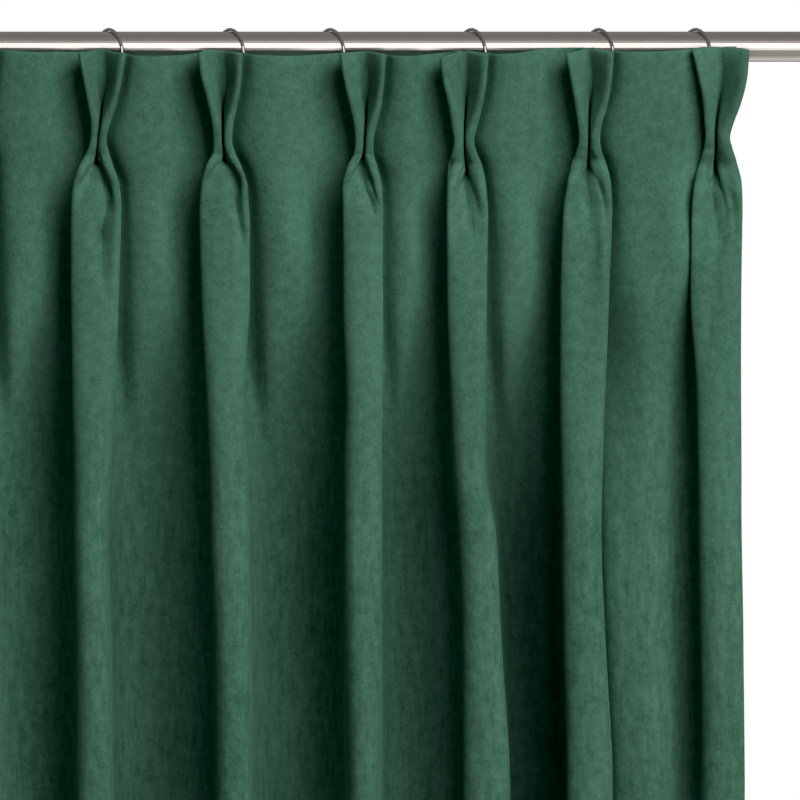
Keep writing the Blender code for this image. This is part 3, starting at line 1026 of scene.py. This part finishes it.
class MetalSettings(bpy.types.PropertyGroup):
    """The finishes of the rod, the rings and the hooks"""

    rod_colour: colour_property("Rod", "Satin nickel of the rod and its caps", (0.73, 0.68, 0.64))
    rod_roughness: bpy.props.FloatProperty(
        name="Rod Roughness",
        description="How soft the rod's reflections are",
        default=0.3,
        min=0.05,
        max=1,
        subtype="FACTOR",
    )
    wire_colour: colour_property("Wire", "Steel wire of the rings and hooks", (0.62, 0.58, 0.55))


class StudioSettings(bpy.types.PropertyGroup):
    """The camera and the lights"""

    elevation: bpy.props.FloatProperty(
        name="Camera Elevation",
        description="How far the camera looks down",
        default=math.radians(7),
        subtype="ANGLE",
    )
    distance: bpy.props.FloatProperty(
        name="Camera Distance",
        description="How far the camera stands from the cloth",
        default=6.0,
        unit="LENGTH",
    )
    frame_width: bpy.props.FloatProperty(
        name="Frame Width",
        description="Width of what the camera takes in at the rod",
        default=0.66,
        unit="LENGTH",
    )
    key_power: power_property("Key Light", "Power of the soft light on the right", 250)
    front_power: power_property("Front Light", "Power of the wide light over the camera", 9)
    fill_power: power_property("Fill Light", "Power of the light on the left", 1.8)
    streak_power: power_property("Streak Light", "Power of the light that shows along the rod", 68)
    ceiling_power: power_property("Ceiling Light", "Power of the light in the top of the rod", 7.5)
    low_power: power_property("Low Light", "Power of the light in the bottom of the rod", 9)
    back_power: power_property("Back Light", "Power of the light on the cloth's back", 140)
    ambient: bpy.props.FloatProperty(
        name="Ambient",
        description="Light that comes from all round",
        default=0.02,
        min=0,
        max=2,
    )
    backdrop: bpy.props.FloatProperty(
        name="Backdrop",
        description="Light that comes from behind the cloth",
        default=0.22,
        min=0,
        max=2,
    )
    black_level: bpy.props.FloatProperty(
        name="Black Level",
        description="The light that still shows as black",
        default=0.006,
        min=0,
        max=0.1,
    )


# Studio, in metres and degrees, and the camera's sensor in millimetres
VIEW_CENTRE = (0.042, -0.03, -0.2897)
SENSOR = 36.0
FLOOR_RADIUS = 8.5
FLOOR_GAP = 0.03

# Each light: its azimuth, elevation and distance from the target, and its width and height
LIGHT_TARGET = (0.04, -0.03, -0.35)
KEY_LIGHT = (32, 38, 4.2, (2.6, 2.2))
FRONT_LIGHT = (0, 22, 4.0, (3.2, 2.4))
FILL_LIGHT = (-50, 10, 4.0, (2.0, 2.0))
STREAK_LIGHT = (4, 10.5, 4.0, (3.6, 3.8))
CEILING_LIGHT = (0, 58, 3.0, (4.0, 2.6))
LOW_LIGHT = (180, -72, 1.6, (4.0, 1.6))
BACK_LIGHT = (200, 20, 4.5, (3.0, 3.0))


def towards(azimuth, elevation, distance, target):
    """The point that lies this way and this far from the target. Azimuth 0 is the room's side."""
    azimuth, elevation = math.radians(azimuth), math.radians(elevation)
    level = math.cos(elevation)
    way = (math.sin(azimuth) * level, -math.cos(azimuth) * level, math.sin(elevation))
    return Vector(target) + Vector(way) * distance


def make_light(name, placing, power, on_cloth=True, on_metal=True):
    """A soft light. It lights the cloth or shows in the metal, or does both."""
    azimuth, elevation, distance, size = placing
    data = bpy.data.lights.new(name, "AREA")
    data.energy = power
    data.shape = "RECTANGLE"
    data.size, data.size_y = size
    light = bpy.data.objects.new(name, data)
    light.location = towards(azimuth, elevation, distance, LIGHT_TARGET)
    aim = Vector(LIGHT_TARGET) - light.location
    light.rotation_euler = aim.to_track_quat("-Z", "Y").to_euler()
    light.visible_camera = False
    light.visible_diffuse = on_cloth
    light.visible_glossy = on_metal
    bpy.context.scene.collection.objects.link(light)


def set_film(studio):
    """Plain colours, with the deepest shadows let go to black."""
    view = bpy.context.scene.view_settings
    view.view_transform = "Standard"
    view.use_curve_mapping = True
    view.curve_mapping.black_level = [studio.black_level] * 3
    view.curve_mapping.update()


def make_camera(studio):
    """A long lens from the room's side, a little above the rod."""
    data = bpy.data.cameras.new("camera")
    data.sensor_width = SENSOR
    data.lens = SENSOR * studio.distance / studio.frame_width
    camera = bpy.data.objects.new("camera", data)
    camera.location = towards(0, math.degrees(studio.elevation), studio.distance, VIEW_CENTRE)
    camera.rotation_euler = (math.pi / 2 - studio.elevation, 0, 0)
    bpy.context.scene.collection.objects.link(camera)
    bpy.context.scene.camera = camera


def make_world(studio):
    """White as the camera sees it, with a dim light in front and a stronger one from behind."""
    world = bpy.data.worlds.new("studio")
    bpy.context.scene.world = world
    shader = Shader(world)
    way = shader.node("ShaderNodeTexCoord", {}, {}, output="Generated")
    depth = shader.node("ShaderNodeSeparateXYZ", {}, {"Vector": way}, output="Y")
    behind = shader.ramp(depth, -0.4, 0.2)
    level = studio.ambient + behind * studio.backdrop
    seen = shader.node("ShaderNodeLightPath", {}, {}, output="Is Camera Ray")
    strength = seen + (1 - seen) * level
    sockets = {"Color": (1, 1, 1, 1), "Strength": strength}
    background = shader.node("ShaderNodeBackground", {}, sockets)
    shader.node("ShaderNodeOutputWorld", {}, {"Surface": background})


def make_floor():
    """A round floor just below the hem."""
    bpy.ops.mesh.primitive_circle_add(vertices=96, radius=FLOOR_RADIUS, fill_type="NGON")
    floor = bpy.context.object
    floor.name = "floor"
    floor.location.z = solid_box[0][2] - FLOOR_GAP
    floor.data.materials.append(floor_material())


class MakeCloth(bpy.types.Operator):
    """Makes the pleated cloth in its hanging folds, attaches it to the root and hides the model's
    curtain
    """

    bl_idname = "curtain.make_cloth"
    bl_label = "Make Cloth"

    def execute(self, context):
        cloth, flat_size = make_cloth(context.scene.curtain_cloth)
        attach(cloth, "root")
        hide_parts("curtain")
        return {"FINISHED"}


class FinishMetal(bpy.types.Operator):
    """Gives the rod, its caps, the rings and the hooks their metal finishes"""

    bl_idname = "curtain.finish_metal"
    bl_label = "Finish Metal"

    def execute(self, context):
        nickel = nickel_material(context.scene.curtain_metal)
        wire = wire_material(context.scene.curtain_metal)
        for name in ROD_PARTS:
            bpy.data.objects[name].material_slots[0].material = nickel
        for name in (*RINGS, *HOOKS):
            bpy.data.objects[name].material_slots[0].material = wire
        return {"FINISHED"}


class MakeStudio(bpy.types.Operator):
    """Sets the camera, the soft lights, the white surround and the pale floor"""

    bl_idname = "curtain.make_studio"
    bl_label = "Make Studio"

    def execute(self, context):
        studio = context.scene.curtain_studio
        set_film(studio)
        make_camera(studio)
        make_light("key", KEY_LIGHT, studio.key_power, on_metal=False)
        make_light("front", FRONT_LIGHT, studio.front_power)
        make_light("fill", FILL_LIGHT, studio.fill_power)
        make_light("streak", STREAK_LIGHT, studio.streak_power, on_cloth=False)
        make_light("ceiling", CEILING_LIGHT, studio.ceiling_power, on_cloth=False)
        make_light("low", LOW_LIGHT, studio.low_power, on_cloth=False)
        make_light("back", BACK_LIGHT, studio.back_power, on_metal=False)
        make_world(studio)
        make_floor()
        return {"FINISHED"}


class CurtainPanel(bpy.types.Panel):
    """Lists each group of settings with the operator that uses them"""

    bl_idname = "VIEW3D_PT_curtain"
    bl_label = "Curtain"
    bl_space_type = "VIEW_3D"
    bl_region_type = "UI"
    bl_category = "Curtain"

    def draw(self, context):
        for settings, operator in (
            (context.scene.curtain_cloth, MakeCloth),
            (context.scene.curtain_metal, FinishMetal),
            (context.scene.curtain_studio, MakeStudio),
        ):
            column = self.layout.column()
            for name in settings.__annotations__:
                column.prop(settings, name)
            column.operator(operator.bl_idname)


CLASSES = (
    ClothSettings,
    MetalSettings,
    StudioSettings,
    MakeCloth,
    FinishMetal,
    MakeStudio,
    CurtainPanel,
)


def register():
    for cls in CLASSES:
        bpy.utils.register_class(cls)
    bpy.types.Scene.curtain_cloth = bpy.props.PointerProperty(type=ClothSettings)
    bpy.types.Scene.curtain_metal = bpy.props.PointerProperty(type=MetalSettings)
    bpy.types.Scene.curtain_studio = bpy.props.PointerProperty(type=StudioSettings)


def unregister():
    del bpy.types.Scene.curtain_studio
    del bpy.types.Scene.curtain_metal
    del bpy.types.Scene.curtain_cloth
    for cls in reversed(CLASSES):
        bpy.utils.unregister_class(cls)


def main():
    register()
    bpy.ops.curtain.make_studio()
    bpy.ops.curtain.make_cloth()
    bpy.ops.curtain.finish_metal()


if __name__ == "__main__":
    main()
